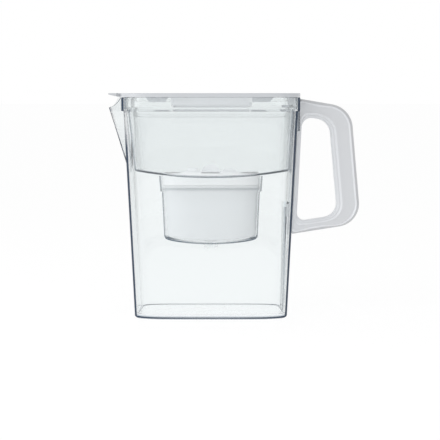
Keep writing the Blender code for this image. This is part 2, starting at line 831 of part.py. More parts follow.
def make_spout_flap(holder):
    """White V plate, thinning to its tip, that tips up on pins between the lid's ears."""
    root_x = spout_hinge_x - barrel_radius - lift_gap
    tip_x = spout_hinge_x - spout_flap_reach
    plan = [(spout_hinge_x, -spout_flap_neck), (root_x, -spout_flap_neck)]
    for step in range(spout_nose_steps + 1):
        side = 2 * step / spout_nose_steps - 1
        out = (root_x - tip_x) * (1 - abs(side) ** spout_nose_power)
        plan.append((root_x - out, spout_flap_half_width * side))
    plan += [(root_x, spout_flap_neck), (spout_hinge_x, spout_flap_neck)]
    flap = prism("spout_flap", plan, hinge_height - barrel_radius, lid_top, "Z")
    wide = 2 * spout_flap_half_width
    under = [
        (spout_hinge_x, hinge_height - barrel_radius),
        (tip_x - overrun, lid_top - spout_flap_tip),
        (tip_x - overrun, hinge_height - 2 * barrel_radius),
        (spout_hinge_x, hinge_height - 2 * barrel_radius),
    ]
    cut(flap, prism("under_bevel", under, -wide, wide, "Y"))
    centre = (spout_hinge_x, 0, hinge_height)
    add(flap, rod("spout_barrel", barrel_radius, centre, 2 * spout_flap_neck, "Y", hinge_points))
    pins_length = 2 * (spout_flap_neck + lift_gap + ear_width)
    add(flap, rod("spout_pins", pin_radius, centre, pins_length, "Y", hinge_points))
    dress(flap, (0.80, 0.81, 0.82), 0.35)
    carry(flap, holder, centre)


jug = make_jug()
handle = make_handle()
carry(handle, jug)
hopper = make_hopper()
carry(hopper, jug)
cartridge = bpy.data.objects.new("cartridge", None)
bpy.context.scene.collection.objects.link(cartridge)
cartridge.parent = hopper
make_cartridge(cartridge)
lid = make_lid(hopper)
make_refill_flap(lid)
make_spout_flap(lid)
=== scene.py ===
"""A slim water filter pitcher: clear jug and hopper, white lid, flaps, handle and filter cartridge.

Metres, +Z up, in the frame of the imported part. The handle is towards +X, the spout towards -X, and
the photograph looks along +Y.
"""

import math

import bpy
from mathutils import Matrix, Vector


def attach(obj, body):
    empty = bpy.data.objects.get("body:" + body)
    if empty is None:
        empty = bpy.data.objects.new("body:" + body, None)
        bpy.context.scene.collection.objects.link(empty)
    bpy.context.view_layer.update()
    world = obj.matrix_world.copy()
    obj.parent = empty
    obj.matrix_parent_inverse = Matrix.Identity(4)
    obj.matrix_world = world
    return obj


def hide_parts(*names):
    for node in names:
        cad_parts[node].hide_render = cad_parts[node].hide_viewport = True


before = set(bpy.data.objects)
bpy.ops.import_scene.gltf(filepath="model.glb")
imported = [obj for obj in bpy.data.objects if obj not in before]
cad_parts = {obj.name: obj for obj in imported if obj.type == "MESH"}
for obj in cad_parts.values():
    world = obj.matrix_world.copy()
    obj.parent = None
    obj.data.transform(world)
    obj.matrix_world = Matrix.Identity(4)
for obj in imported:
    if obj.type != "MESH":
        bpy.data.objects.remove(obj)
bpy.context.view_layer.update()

# Jug: the outer vessel in clear styrene acrylonitrile, injection moulded in one shot and polished.
# Its walls lean out to a stepped collar. A V spout is moulded on one end, and a long recess with a
# small pad above it takes the handle on the other.

seat_gap = 0.0003
overrun = 0.003  # how far a cutting tool reaches past the piece
bury = 0.001  # how deep joined forms reach into each other
jug_power = 5
jug_points = 160
foot_length, foot_depth = 0.0797, 0.046
shoulder_length, shoulder_depth, shoulder_height = 0.0903, 0.0509, 0.2137
collar_length, collar_depth, jug_height = 0.0924, 0.053, 0.2277
jug_wall = 0.0022
jug_floor = 0.0035
foot_radius, foot_edge = 0.003, 0.0014
ledge_height = 0.2159
soft_edge = 0.0006
soft_start = 0.3 * soft_edge
jug_taper = (shoulder_length - foot_length) / shoulder_height
spout_root_height, spout_lip_height = 0.150, 0.217
spout_reach, spout_half_width, spout_wall = 0.0173, 0.021, 0.0026
nose_power, nose_steps = 1.35, 28
recess_back, recess_height, recess_half_width = 0.079, 0.1186, 0.011
pad_low, pad_proud, pad_half_width = 0.1928, 0.0018, 0.0105
smooth_angle = math.radians(32)
mouth_back, mouth_steps = 0.0034, 16
mouth_bend = (0.34, 0.14)


def select_only(piece):
    bpy.ops.object.select_all(action="DESELECT")
    bpy.context.view_layer.objects.active = piece
    piece.select_set(True)


def close_up(piece):
    """Turns every face outwards and smooths all but the real edges."""
    select_only(piece)
    bpy.ops.object.mode_set(mode="EDIT")
    bpy.ops.mesh.select_all(action="SELECT")
    bpy.ops.mesh.remove_doubles(threshold=1e-6)
    bpy.ops.mesh.normals_make_consistent(inside=False)
    bpy.ops.object.mode_set(mode="OBJECT")
    bpy.ops.object.shade_smooth_by_angle(angle=smooth_angle)


def start_outline(name, points, fill="NGON"):
    bpy.ops.object.select_all(action="DESELECT")
    bpy.ops.mesh.primitive_circle_add(vertices=points, radius=1, fill_type=fill)
    piece = bpy.context.object
    piece.name = name
    return piece


def loft(name, power, points, rows):
    """Closed solid pulled up ring by ring through squared ovals.

    A row is half-length, half-depth, height, and where needed how far its ends rise and how far
    it lies along X.
    """
    piece = start_outline(name, points)
    for vertex in piece.data.vertices:
        vertex.co.x = math.copysign(abs(vertex.co.x) ** (2 / power), vertex.co.x)
        vertex.co.y = math.copysign(abs(vertex.co.y) ** (2 / power), vertex.co.y)
    bpy.ops.object.mode_set(mode="EDIT")
    bpy.ops.mesh.select_all(action="SELECT")
    length, depth, height = 1, 1, 0
    for index, row in enumerate(rows):
        climb = (0, 0, row[2] - height)
        if index:
            bpy.ops.mesh.extrude_region_move(TRANSFORM_OT_translate={"value": climb})
        else:
            bpy.ops.transform.translate(value=climb)
        bpy.ops.transform.resize(value=(row[0] / length, row[1] / depth, 1), center_override=(0, 0, row[2]))
        length, depth, height = row[:3]
    bpy.ops.object.mode_set(mode="OBJECT")
    for vertex in piece.data.vertices:
        length, depth, height, bow, shift = (*rows[vertex.index // points], 0, 0)[:5]
        vertex.co.z += bow * (vertex.co.x / length) ** 2
        vertex.co.x += shift
    close_up(piece)
    return piece


def rounded_foot(length, depth, height, radius, bow=0, shift=0, steps=6):
    """Rows for a floor, and for the round edge up to where the wall starts."""
    rows = []
    for share in (0.04, 0.3, 0.55, 0.8):
        size = (length - radius) * share, (depth - radius) * share
        rows.append((*size, height, bow * (size[0] / length) ** 2, shift))
    for step in range(steps + 1):
        angle = math.radians(90) * step / steps
        inset = radius * (1 - math.sin(angle))
        lift = radius * (1 - math.cos(angle))
        edge_bow = bow * ((length - inset) / length) ** 2
        rows.append((length - inset, depth - inset, height + lift, edge_bow, shift))
    return rows


def slab(name, outline, low, high, across="Y"):
    """Solid of a constant outline: (x, z) points across Y, or (x, y) points across Z."""
    piece = start_outline(name, len(outline))
    for vertex, (x, other) in zip(piece.data.vertices, outline):
        vertex.co = (x, low, other) if across == "Y" else (x, other, low)
    bpy.ops.object.mode_set(mode="EDIT")
    bpy.ops.mesh.select_all(action="SELECT")
    travel = (0, high - low, 0) if across == "Y" else (0, 0, high - low)
    bpy.ops.mesh.extrude_region_move(TRANSFORM_OT_translate={"value": travel})
    bpy.ops.object.mode_set(mode="OBJECT")
    close_up(piece)
    return piece


def block(name, low, high):
    outline = [(low[0], low[2]), (high[0], low[2]), (high[0], high[2]), (low[0], high[2])]
    return slab(name, outline, low[1], high[1])


def rod(name, radius, centre, length, across="Y", points=32):
    """Pin or bore about a centre."""
    turn = (math.radians(90), 0, 0) if across == "Y" else (0, 0, 0)
    bpy.ops.object.select_all(action="DESELECT")
    bpy.ops.mesh.primitive_cylinder_add(
        vertices=points, radius=radius, depth=length, location=centre, rotation=turn
    )
    piece = bpy.context.object
    piece.name = name
    bpy.ops.object.transform_apply(location=True, rotation=True, scale=True)
    return piece


def work(piece, tool, operation):
    """Joins, cuts or keeps a piece by a tool, and clears the tool away."""
    select_only(piece)
    step = piece.modifiers.new(tool.name, "BOOLEAN")
    step.operation = operation
    step.solver = "EXACT"
    step.object = tool
    bpy.ops.object.modifier_apply(modifier=step.name)
    bpy.data.objects.remove(tool, do_unlink=True)


def join(piece, tool):
    work(piece, tool, "UNION")


def cut(piece, tool):
    work(piece, tool, "DIFFERENCE")


def keep(piece, tool):
    work(piece, tool, "INTERSECT")


def end_wall(height):
    """Half-length of the jug's outside at a height."""
    return foot_length + jug_taper * height


def spout_cone(name, shift, top):
    """Cone from the spout's root up to its V outline at a height."""
    share = (top - spout_root_height) / (spout_lip_height - spout_root_height)
    back = jug_wall / 2 - end_wall(top) + shift
    bpy.ops.object.select_all(action="DESELECT")
    bpy.ops.mesh.primitive_cone_add(vertices=nose_steps + 1, radius1=1, radius2=0, depth=1)
    cone = bpy.context.object
    cone.name = name
    cone.location = (0, 0, 0)
    for vertex in cone.data.vertices:
        if vertex.co.z > 0:
            vertex.co = (jug_wall / 2 - end_wall(spout_root_height) + shift, 0, spout_root_height)
        else:
            side = 2 * vertex.index / nose_steps - 1
            out = spout_reach * share * (1 - abs(side) ** nose_power)
            vertex.co = (back - out, spout_half_width * share * side, top)
    close_up(cone)
    return cone


outside = rounded_foot(foot_length, foot_depth, 0, foot_edge)
outside += [
    (shoulder_length, shoulder_depth, shoulder_height - soft_edge),
    (shoulder_length + soft_start, shoulder_depth + soft_start, shoulder_height),
    (collar_length - soft_edge, collar_depth - soft_edge, shoulder_height),
    (collar_length - soft_start, collar_depth - soft_start, shoulder_height + soft_start),
    (collar_length, collar_depth, shoulder_height + soft_edge),
    (collar_length, collar_depth, jug_height - soft_edge),
    (collar_length - soft_start, collar_depth - soft_start, jug_height - soft_start),
    (collar_length - soft_edge, collar_depth - soft_edge, jug_height),
]
jug = loft("clear_jug", jug_power, jug_points, outside)

inside = rounded_foot(foot_length - jug_wall, foot_depth - jug_wall, jug_floor, foot_radius)
throat = (shoulder_length - jug_wall, shoulder_depth - jug_wall)
socket = (collar_length - jug_wall, collar_depth - jug_wall)
inside += [
    (*throat, ledge_height),
    (*socket, ledge_height),
    (*socket, jug_height + overrun),
]
cavity = loft("cavity", jug_power, jug_points, inside)
far = collar_length + overrun
shroud_half = recess_half_width + jug_wall
shroud_low = (recess_back - jug_wall, -shroud_half, -overrun)
cut(cavity, block("shroud", shroud_low, (far, shroud_half, recess_height + jug_wall)))

pad_inner = (shoulder_length - jug_wall, -pad_half_width, pad_low)
join(jug, block("pad", pad_inner, (shoulder_length + pad_proud, pad_half_width, shoulder_height + bury)))
join(jug, spout_cone("spout_outside", 0, jug_height))

mouth_start = (-(collar_length + mouth_back), jug_height)
mouth_lip = (jug_wall / 2 - end_wall(spout_lip_height) - spout_reach, spout_lip_height)
mouth_pull = (
    mouth_start[0] + (mouth_lip[0] - mouth_start[0]) * mouth_bend[0],
    mouth_lip[1] + (mouth_start[1] - mouth_lip[1]) * mouth_bend[1],
)
mouth = []
for step in range(mouth_steps + 1):
    along = step / mouth_steps
    first = Vector(mouth_start).lerp(Vector(mouth_pull), along)
    mouth.append(tuple(first.lerp(Vector(mouth_pull).lerp(Vector(mouth_lip), along), along)))
mouth += [
    (mouth_lip[0] - spout_reach, mouth_lip[1]),
    (mouth_lip[0] - spout_reach, jug_height + 2 * overrun),
    (mouth_start[0], jug_height + 2 * overrun),
]
cut(jug, slab("mouth", mouth, -2 * spout_half_width, 2 * spout_half_width))
cut(jug, cavity)
cut(jug, spout_cone("spout_inside", spout_wall, jug_height + overrun))
recess_low = (recess_back, -recess_half_width, -overrun)
cut(jug, block("recess", recess_low, (far, recess_half_width, recess_height)))
close_up(jug)


def colour(hex_code):
    """sRGB hex to the linear colour that the shaders read."""
    levels = [int(hex_code[i : i + 2], 16) / 255 for i in (1, 3, 5)]
    return (*(c / 12.92 if c <= 0.04045 else ((c + 0.055) / 1.055) ** 2.4 for c in levels), 1)


def add(material, kind, sockets, **settings):
    """Adds a shader node: settings go on the node, and a node given for a socket is its first output."""
    made = material.node_tree.nodes.new("ShaderNode" + kind)
    for name, value in settings.items():
        setattr(made, name, value)
    for name, value in sockets.items():
        if isinstance(value, bpy.types.Node):
            value = value.outputs[0]
        if isinstance(value, bpy.types.NodeSocket):
            material.node_tree.links.new(value, made.inputs[name])
        else:
            made.inputs[name].default_value = value
    return made


def start_material(name):
    material = bpy.data.materials.new(name)
    material.use_nodes = True
    material.node_tree.nodes.clear()
    return material


acrylonitrile_index, body_density = 1.57, 11.0
swirl_size, patch_size = 0.025, 0.004
# Where the dark edge starts and where it is full: by how far a wall turns away, by how far its
# normal leads outwards, across |Y| and towards the ends at the corners, and across a floor
edge_start, edge_full, fringe_full, fringe_share = 0.575, 0.645, 0.62, 0.11
outward_start, outward_full, under_pull, open_share = 0.004, 0.02, 0.02, 0.2
corner_start, corner_full, end_start, end_full = 0.009, 0.019, 0.86, 0.93
proud_start, proud_full, block_blur = 0.0003, 0.0008, 0.0003
floor_start, floor_full, floor_end_square = 0.0014, 0.0006, 0.0056


def clear_plastic(name, through, body, haze, edge, edge_share, floors, thick_painted_dark, spout_open=None):
    """Clear moulded plastic: lamps reach what it holds, and painted shade darkens an outer wall seen edge-on.

    A floor is a height, a bow and how dark the painted shade on its edge is at the middle and ends. Thick
    boxes of solid plastic get painted shade, each a centre, half sizes and a share. Where spout_open
    gives two heights, the painted shade on the end wall fades between them and only round corners go dark.
    """
    material = start_material(name)
    place = add(material, "TexCoord", {}).outputs["Object"]
    # Slow swirls where the melt met, too low to feel
    flow = add(material, "TexNoise", {"Vector": place, "Scale": 1 / swirl_size, "Detail": 1.0})
    swirl = add(material, "Bump", {"Height": flow.outputs["Fac"], "Strength": 0.05, "Distance": 0.0003})
    # Patches of fine haze from handling
    patches = add(material, "TexNoise", {"Vector": place, "Scale": 1 / patch_size, "Detail": 3.0})
    rough = add(material, "MapRange", {"Value": patches.outputs["Fac"], "To Min": haze[0], "To Max": haze[1]})
    face_on = add(material, "BsdfPrincipled", {
        "Base Color": colour(through),
        "Roughness": rough,
        "Normal": swirl,
        "Transmission Weight": 1.0,
        "IOR": acrylonitrile_index,
    })
    painted_dark_edge = add(material, "BsdfPrincipled", {
        "Base Color": colour(edge),
        "Roughness": 0.5,
        "Specular IOR Level": 0.1,
        "IOR": acrylonitrile_index,
    })
    # Painted shade: a navy shader is mixed in where the wall turns edge-on, for the dark refraction there
    facing = add(material, "LayerWeight", {"Blend": 0.5}).outputs["Facing"]
    grazing = add(
        material,
        "MapRange",
        {"Value": facing, "From Min": edge_start, "From Max": edge_full, "To Max": edge_share},
        interpolation_type="SMOOTHSTEP",
    )
    # A faint blue fringe of painted shade lies inside the dark edge, where the wall starts to turn away
    fringe = {"Value": facing, "From Max": fringe_full, "To Max": fringe_share * edge_share}
    fringe = add(material, "MapRange", fringe)
    turned = add(material, "Math", {0: grazing, 1: fringe}, operation="MAXIMUM")
    # Only the outer skin, whose normal leads away from the axis, is painted dark, seen from either side
    skin = add(material, "NewGeometry", {})
    flat = add(material, "VectorMath", {0: place, 1: (1, 1, 0)}, operation="MULTIPLY")
    outward = add(material, "VectorMath", {0: skin.outputs["Normal"], 1: flat}, operation="DOT_PRODUCT")
    behind = add(material, "Math", {0: skin.outputs["Backfacing"], 1: -2.0, 2: 1.0}, operation="MULTIPLY_ADD")
    outward = add(material, "Math", {0: outward.outputs["Value"], 1: behind}, operation="MULTIPLY")
    outer = add(material, "MapRange", {"Value": outward, "From Min": outward_start, "From Max": outward_full})
    spot = add(material, "SeparateXYZ", {"Vector": place})
    if spout_open:
        # The spout opens the end wall, so little of it is seen edge-on above the spout's root
        solid = add(material, "MapRange", {
            "Value": spot.outputs["Z"],
            "From Min": spout_open[1],
            "From Max": spout_open[0],
            "To Min": open_share,
        })
        for axis, limit in (("X", 0.0), ("Z", shoulder_height)):
            past = add(material, "Math", {0: spot.outputs[axis], 1: limit}, operation="GREATER_THAN")
            solid = add(material, "Math", {0: solid, 1: past}, operation="MAXIMUM")
        turned = add(material, "Math", {0: turned, 1: solid}, operation="MULTIPLY")
        # The middle of a wall stays clear from any side, as only the round corners are painted dark
        around = add(material, "Math", {0: spot.outputs["Y"]}, operation="ABSOLUTE")
        corner = {"Value": around, "From Min": corner_start, "From Max": corner_full}
        corner = add(material, "MapRange", corner)
        reach = add(material, "Math", {0: spot.outputs["X"]}, operation="ABSOLUTE")
        wall = {0: spot.outputs["Z"], 1: jug_taper, 2: foot_length}
        wall = add(material, "Math", wall, operation="MULTIPLY_ADD")
        along = add(material, "Math", {0: reach, 1: wall}, operation="DIVIDE")
        along = add(material, "MapRange", {"Value": along, "From Min": end_start, "From Max": end_full})
        corner = add(material, "Math", {0: corner, 1: along}, operation="MINIMUM")
        proud = add(material, "Math", {0: reach, 1: wall}, operation="SUBTRACT")
        proud = add(material, "MapRange", {"Value": proud, "From Min": proud_start, "From Max": proud_full})
        corner = add(material, "Math", {0: corner, 1: proud}, operation="MAXIMUM")
        turned = add(material, "Math", {0: turned, 1: corner}, operation="MULTIPLY")
    share = add(material, "Math", {0: turned, 1: outer}, operation="MULTIPLY")
    # A floor is seen through its whole depth, and its edge gets painted shade too, also where it rolls under
    under = add(material, "VectorMath", {0: flat, 1: (0, 0, under_pull)}, operation="SUBTRACT")
    under = add(material, "VectorMath", {0: skin.outputs["Normal"], 1: under}, operation="DOT_PRODUCT")
    under = add(material, "MapRange", {
        "Value": under.outputs["Value"],
        "From Min": outward_start,
        "From Max": outward_full,
        "To Max": grazing,
    })
    front = {0: skin.outputs["Backfacing"], 1: -1 / edge_share, 2: 1 / edge_share}
    front = add(material, "Math", front, operation="MULTIPLY_ADD")
    under = add(material, "Math", {0: under, 1: front}, operation="MULTIPLY")
    roll = add(material, "Math", {0: under, 1: outer}, operation="MAXIMUM")
    square = add(material, "Math", {0: spot.outputs["X"], 1: 2.0}, operation="POWER")
    for floor_top, floor_bow, middle_share, end_share in floors:
        level = {0: square, 1: -floor_bow, 2: spot.outputs["Z"]}
        level = add(material, "Math", level, operation="MULTIPLY_ADD")
        level = add(material, "Math", {0: level, 1: floor_top}, operation="SUBTRACT")
        level = add(material, "Math", {0: level}, operation="ABSOLUTE")
        ends = {"Value": square, "From Max": floor_end_square, "To Min": middle_share, "To Max": end_share}
        ends = add(material, "MapRange", ends)
        foot = {"Value": level, "From Min": floor_start, "From Max": floor_full, "To Max": ends}
        foot = add(material, "MapRange", foot)
        foot = add(material, "Math", {0: foot, 1: roll}, operation="MULTIPLY")
        share = add(material, "Math", {0: share, 1: foot}, operation="MAXIMUM")
    # Blocks of solid plastic get painted shade as well
    for centre, half, block_share in thick_painted_dark:
        off = place
        for operation, other in (("SUBTRACT", centre), ("ABSOLUTE", (0, 0, 0)), ("SUBTRACT", half)):
            off = add(material, "VectorMath", {0: off, 1: other}, operation=operation)
        sides = add(material, "SeparateXYZ", {"Vector": off})
        worst = sides.outputs["X"]
        for axis in "YZ":
            worst = add(material, "Math", {0: worst, 1: sides.outputs[axis]}, operation="MAXIMUM")
        inside_box = {"Value": worst, "From Min": block_blur, "From Max": -block_blur, "To Max": block_share}
        inside_box = add(material, "MapRange", inside_box)
        share = add(material, "Math", {0: share, 1: inside_box}, operation="MAXIMUM")
    seen = add(material, "MixShader", {0: share, 1: face_on, 2: painted_dark_edge})
    path = add(material, "LightPath", {})
    lamp_ray = {0: path.outputs["Is Shadow Ray"], 1: path.outputs["Is Diffuse Ray"]}
    lamp_ray = add(material, "Math", lamp_ray, operation="MAXIMUM")
    film = add(material, "BsdfTransparent", {})
    surface = add(material, "MixShader", {0: lamp_ray, 1: seen, 2: film})
    inner = add(material, "VolumeAbsorption", {"Color": colour(body), "Density": body_density})
    add(material, "OutputMaterial", {"Surface": surface, "Volume": inner})
    return material


left_end, right_end, collar_half = 0.0018, 0.0016, 0.0018
recess_line, recess_line_half = 0.0003, 0.0007
collar_block = (collar_half, collar_depth, (jug_height - shoulder_height) / 2)
collar_middle = (shoulder_height + jug_height) / 2
# Solid plastic given painted shade: the collar's two ends, the pad and a line along the recess
solid_painted_dark_blocks = (
    ((left_end - collar_length, 0, collar_middle), collar_block, 0.34),
    ((collar_length - right_end, 0, collar_middle), collar_block, 0.14),
    ((shoulder_length + pad_proud, 0, pad_low), (pad_proud, collar_depth, shoulder_height - pad_low), 0.45),
    (
        (recess_back + recess_line, 0, recess_height / 2),
        (recess_line_half, shroud_half, recess_height / 2 - jug_floor),
        0.35,
    ),
)
# Polished styrene acrylonitrile: water clear face-on, with painted shade for the navy bright-field edges
polished_clear = clear_plastic(
    "polished_clear_acrylonitrile", "#FBFDFD", "#A4BACB", (0.0, 0.015), "#0C2A44", 1.0,
    ((jug_floor / 2, 0.0, 0.75, 0.97),), solid_painted_dark_blocks, (0.176, 0.202),
)
jug.data.materials.append(polished_clear)
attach(jug, "jug")
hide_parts("jug")

# Handle: a closed loop grip in white polypropylene, moulded in one piece with satin faces. It seats
# against the jug's end wall and pad, and a tongue on its spine clips into the recess.

handle_top, handle_bottom, handle_reach = 0.2263, 0.0845, 0.0743
handle_lean, handle_fall, handle_rise = -0.0925, -0.1713, 0.158
spine, top_bar, grip_width, bottom_bar = 0.005, 0.018, 0.0238, 0.012
handle_radii = (0.0015, 0.002, 0.026, 0.0243)
window_radii = (0.008, 0.010, 0.016, 0.015)
handle_half, grip_swell, rim_half = 0.0088, 0.0022, 0.0048
outer_band, inner_band = 0.005, 0.0062
corner_steps = 20
side_steps = (24, 8, 24, 10)
tongue_height, tongue_half, tongue_gap = 0.014, 0.0045, 0.002
# Share by which painted highlight and painted shade change the handle's colour
painted_highlight_shade_gain = 0.16


def crossing(upright, level):
    """Point where an upright line x = a + b z meets a level line z = c + d x."""
    a, b = upright
    c, d = level
    x = (a + b * c) / (1 - b * d)
    return Vector((x, c + d * x))


def rounded_loop(corners, radii):
    """Outline with an arc at each corner and even points along each side."""
    arcs = []
    for index, corner in enumerate(corners):
        back = (corners[index - 1] - corner).normalized()
        ahead = (corners[(index + 1) % len(corners)] - corner).normalized()
        half = back.angle(ahead) / 2
        centre = corner + (back + ahead).normalized() * radii[index] / math.sin(half)
        start = corner + back * radii[index] / math.tan(half) - centre
        sweep = back.angle_signed(ahead)
        turn = math.copysign(math.pi - abs(sweep), -sweep)
        arcs.append([
            centre + Matrix.Rotation(-turn * step / corner_steps, 2) @ start
            for step in range(corner_steps + 1)
        ])
    loop = []
    for index, arc in enumerate(arcs):
        ahead = arcs[(index + 1) % len(arcs)][0]
        count = side_steps[index]
        loop += arc
        loop += [arc[-1].lerp(ahead, step / count) for step in range(1, count)]
    return loop


wall_line = (foot_length + seat_gap, jug_taper)
foot_x = end_wall(handle_bottom) + seat_gap
grip_line = (foot_x + handle_reach - handle_lean * handle_bottom, handle_lean)
top_line = (handle_top - handle_fall * (collar_length + seat_gap), handle_fall)
bottom_line = (handle_bottom - handle_rise * foot_x, handle_rise)
window_wall = (wall_line[0] + spine, jug_taper)
window_grip = (grip_line[0] - grip_width, handle_lean)
window_top = (top_line[0] - top_bar, handle_fall)
window_bottom = (bottom_line[0] + bottom_bar, handle_rise)
outer_loop = rounded_loop(
    [crossing(u, l) for u, l in (
        (wall_line, bottom_line), (wall_line, top_line), (grip_line, top_line), (grip_line, bottom_line)
    )],
    handle_radii,
)
window_loop = rounded_loop(
    [crossing(u, l) for u, l in (
        (window_wall, window_bottom), (window_wall, window_top),
        (window_grip, window_top), (window_grip, window_bottom),
    )],
    window_radii,
)

# The section from each edge to the flat panel: share of the band's width, share of its depth.
# Outside, the band leans in to a raised bead, and the panel lies a step lower with a faint crease
# along it. Round the window a bevel steps up to the panel.
outer_shares = (
    (0, 0), (0.03, 0.14), (0.08, 0.3), (0.16, 0.46), (0.28, 0.65), (0.4, 0.82), (0.5, 0.94),
    (0.57, 0.985), (0.63, 1.0), (0.68, 0.985), (0.94, 0.79), (0.98, 0.772), (1.0, 0.77),
)
window_shares = (
    (0, 0), (0.03, 0.16), (0.08, 0.26), (0.16, 0.36), (0.26, 0.43), (0.38, 0.475), (0.5, 0.495),
    (0.62, 0.5), (0.67, 0.51), (0.71, 0.535), (0.89, 0.705), (0.93, 0.725), (1.0, 0.73),
)
crease_shares = ((0.36, 0.77), (0.38, 0.73))
# Painted highlight on the bead and bevel, painted shade on the leaning band: how much lighter or darker
painted_highlight_shade_tones = {"outer": ((0.6, -1.0), (0.97, 1.0)), "window": ((0.4, 0.5), (0.66, 0.0), (0.94, 1.0))}
loop_points = len(outer_loop)
handle = start_outline("loop_handle", loop_points, "NOTHING")
stations = [("outer", *e) for e in outer_shares] + [("crease", *e) for e in crease_shares]
stations += [("window", *e) for e in reversed(window_shares)]
stations = [(edge, inward, -depth) for edge, inward, depth in stations]
stations += [(edge, inward, -depth) for edge, inward, depth in reversed(stations)]
bpy.ops.object.mode_set(mode="EDIT")
bpy.ops.mesh.select_all(action="SELECT")
for _ in stations[1:]:
    bpy.ops.mesh.extrude_edges_move(TRANSFORM_OT_translate={"value": (0, 0, 1)})
bpy.ops.object.mode_set(mode="OBJECT")
# Painted highlight on the bead and bevel and painted shade on the leaning band, kept per point
tone = handle.data.attributes.new("painted_highlight_shade", "FLOAT", "POINT")
for vertex in handle.data.vertices:
    edge_name, inward, depth = stations[vertex.index // loop_points]
    limits = painted_highlight_shade_tones.get(edge_name, ())
    tone.data[vertex.index].value = next((value for limit, value in limits if inward <= limit), 0)
    outer, window = (loop[vertex.index % loop_points] for loop in (outer_loop, window_loop))
    width = (window - outer).length
    swell = min(max((outer.x - collar_length) / handle_reach, 0), 1)
    half = handle_half + grip_swell * swell
    start, way, band = (outer, window, outer_band) if edge_name == "outer" else (window, outer, inner_band)
    here = start.lerp(way, inward if edge_name == "crease" else min(band, 0.4 * width) * inward / width)
    vertex.co = (here.x, math.copysign(rim_half, depth) + (half - rim_half) * depth, here.y)
for face_edge in handle.data.edges:
    face_edge.select = all(v // loop_points in (0, len(stations) - 1) for v in face_edge.vertices)
bpy.ops.object.mode_set(mode="EDIT")
bpy.ops.mesh.select_mode(type="EDGE")
bpy.ops.mesh.bridge_edge_loops()
bpy.ops.object.mode_set(mode="OBJECT")
close_up(handle)
clear_z = pad_low - seat_gap
relief_low = (foot_length, -2 * handle_half, clear_z)
cut(handle, block("relief", relief_low, (collar_length + seat_gap, 2 * handle_half, handle_top + overrun)))
tongue_top = recess_height - seat_gap
tongue_low = (recess_back + tongue_gap, -tongue_half, tongue_top - tongue_height)
tongue_out = end_wall(tongue_low[2]) + seat_gap + spine / 2
join(handle, block("tongue", tongue_low, (tongue_out, tongue_half, tongue_top)))
close_up(handle)


polypropylene_index = 1.49
shade_dark, shade_light = 0.985, 1.01
shade_scale = 22.0  # patches of 45 mm
# How the painted light on thin walls fades in below a height
painted_light_start, painted_light_full = 0.0002, 0.0006


def white_plastic(name, hex_code, grain_mm, grain_height, rough, painted_light_hex=None, painted_light_below=0, painted_highlight_shade=0):
    """Moulded polypropylene: satin grain from a spark-eroded tool, and a slow change of shade.

    Thin walls below a height, as near the middle as the throat, may be given a lighter colour as
    painted light, standing in for light that passes through them. The colour may also follow an
    attribute by a share, lighter for a painted highlight and darker for painted shade.
    """
    material = start_material(name)
    place = add(material, "TexCoord", {}).outputs["Object"]
    slow = add(material, "TexNoise", {"Vector": place, "Scale": shade_scale, "Detail": 2.0})
    base = Vector(colour(hex_code)[:3])
    shade = {"Factor": slow.outputs["Fac"], 6: (*(base * shade_dark), 1), 7: (*(base * shade_light), 1)}
    shade = add(material, "Mix", shade, data_type="RGBA")
    # Painted light: below a height and within the throat's reach, the colour turns lighter
    if painted_light_hex:
        spot = add(material, "SeparateXYZ", {"Vector": place})
        reach = add(material, "Math", {0: spot.outputs["X"]}, operation="ABSOLUTE")
        inner = add(material, "Math", {0: reach, 1: throat_high_x}, operation="LESS_THAN")
        painted_light_mask = add(material, "MapRange", {
            "Value": spot.outputs["Z"],
            "From Min": painted_light_below + painted_light_start,
            "From Max": painted_light_below - painted_light_full,
            "To Max": inner,
        })
        shade = {"Factor": painted_light_mask, 6: shade.outputs[2], 7: colour(painted_light_hex)}
        shade = add(material, "Mix", shade, data_type="RGBA")
    # Painted highlight and painted shade multiply the colour
    if painted_highlight_shade:
        mark = add(material, "Attribute", {}, attribute_name="painted_highlight_shade")
        gain = add(material, "Math", {0: mark.outputs["Fac"], 1: painted_highlight_shade, 2: 1.0}, operation="MULTIPLY_ADD")
        shade = {"Factor": 1.0, 6: shade.outputs[2], 7: gain}
        shade = add(material, "Mix", shade, data_type="RGBA", blend_type="MULTIPLY")
    grain = add(material, "TexNoise", {"Vector": place, "Scale": 1000 / grain_mm, "Detail": 2.0})
    satin = add(material, "MapRange", {"Value": grain.outputs["Fac"], "To Min": rough[0], "To Max": rough[1]})
    pits = add(material, "Bump", {"Height": grain.outputs["Fac"], "Strength": 0.35, "Distance": grain_height})
    shader = add(material, "BsdfPrincipled", {
        "Base Color": shade.outputs[2],
        "Roughness": satin,
        "Normal": pits,
        "IOR": polypropylene_index,
    })
    add(material, "OutputMaterial", {"Surface": shader})
    return material


satin_handle = white_plastic(
    "satin_white_polypropylene", "#D5D7DA", 0.7, 0.00003, (0.28, 0.38), painted_highlight_shade=painted_highlight_shade_gain
)
handle.data.materials.append(satin_handle)
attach(handle, "jug")
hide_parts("handle")

# Hopper: the inner vessel for raw water, thinly moulded in the same plastic with a faint grey tint.
# Its rim hangs on the ledge in the jug's collar, its floor bows, and an oval well with a short
# outlet hangs under it.

hopper_wall, well_wall = 0.0018, 0.0016
hopper_points, well_power, well_points = 160, 3, 128
hopper_top_clearance, hopper_low_clearance = 0.0016, 0.00366
hopper_floor, hopper_bow, hopper_shift, hopper_radius = 0.1463, 0.0071, 0.00115, 0.0018
ring_length, ring_depth, ring_taper = 0.0545, 0.029, 0.0013
well_step, well_step_height = 0.0017, 0.1317
cup_taper, cup_corner, cup_bow, cup_radius = 0.0021, 0.0762, 0.0045, 0.004
outlet_radius, outlet_bore, outlet_drop = 0.007, 0.0042, 0.0045

